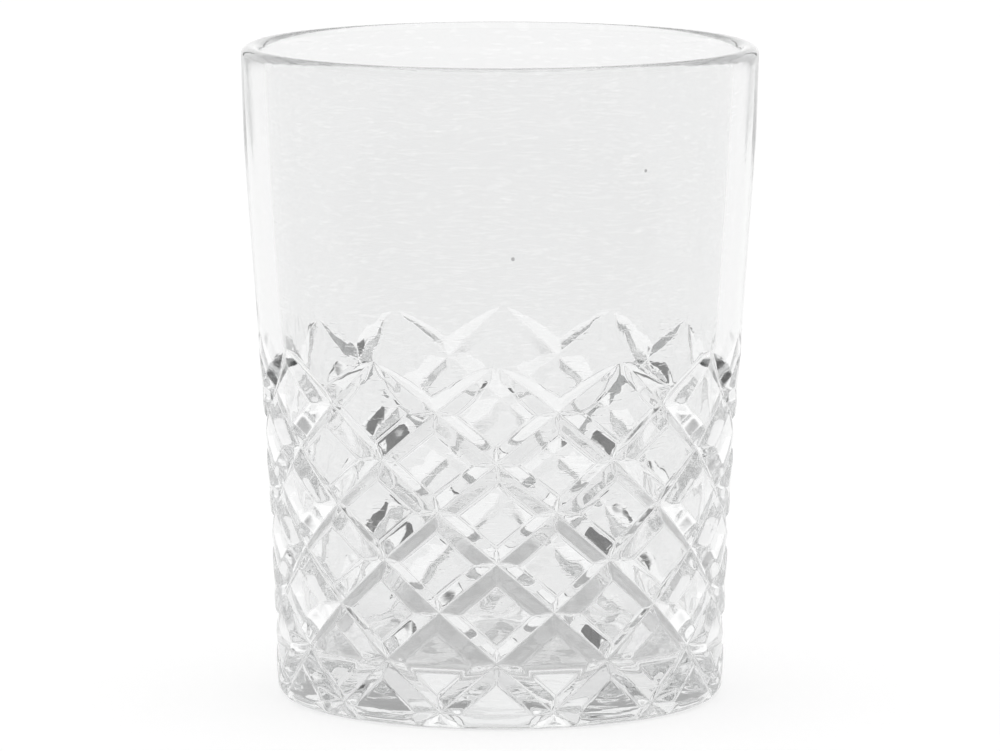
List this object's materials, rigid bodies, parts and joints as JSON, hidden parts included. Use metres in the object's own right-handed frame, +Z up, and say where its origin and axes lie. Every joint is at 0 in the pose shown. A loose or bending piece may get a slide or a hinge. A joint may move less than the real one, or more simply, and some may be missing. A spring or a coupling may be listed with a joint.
{
  "type": "whiskey tumbler",
  "caption": "Clear pressed-glass whiskey tumbler with a smooth upper wall and crossing V grooves that leave diamond pads on the lower half.",
  "frame": {"origin": "on the axis, level with the flat ring that the tumbler stands on", "axes": "+Z up along the axis, out of the mouth; -Y is the front, where the second row of groove crossings from the top has a crossing on the centre line"},
  "size_m": [0.0788, 0.0788, 0.1],
  "materials": {
    "clear_glass": "clear colourless pressed glass with a fire-polished surface, a little ripple on the smooth wall and crisp groove edges"
  },
  "bodies": {
    "root": {"glass_tumbler": "clear_glass"}
  },
  "joints": []
}
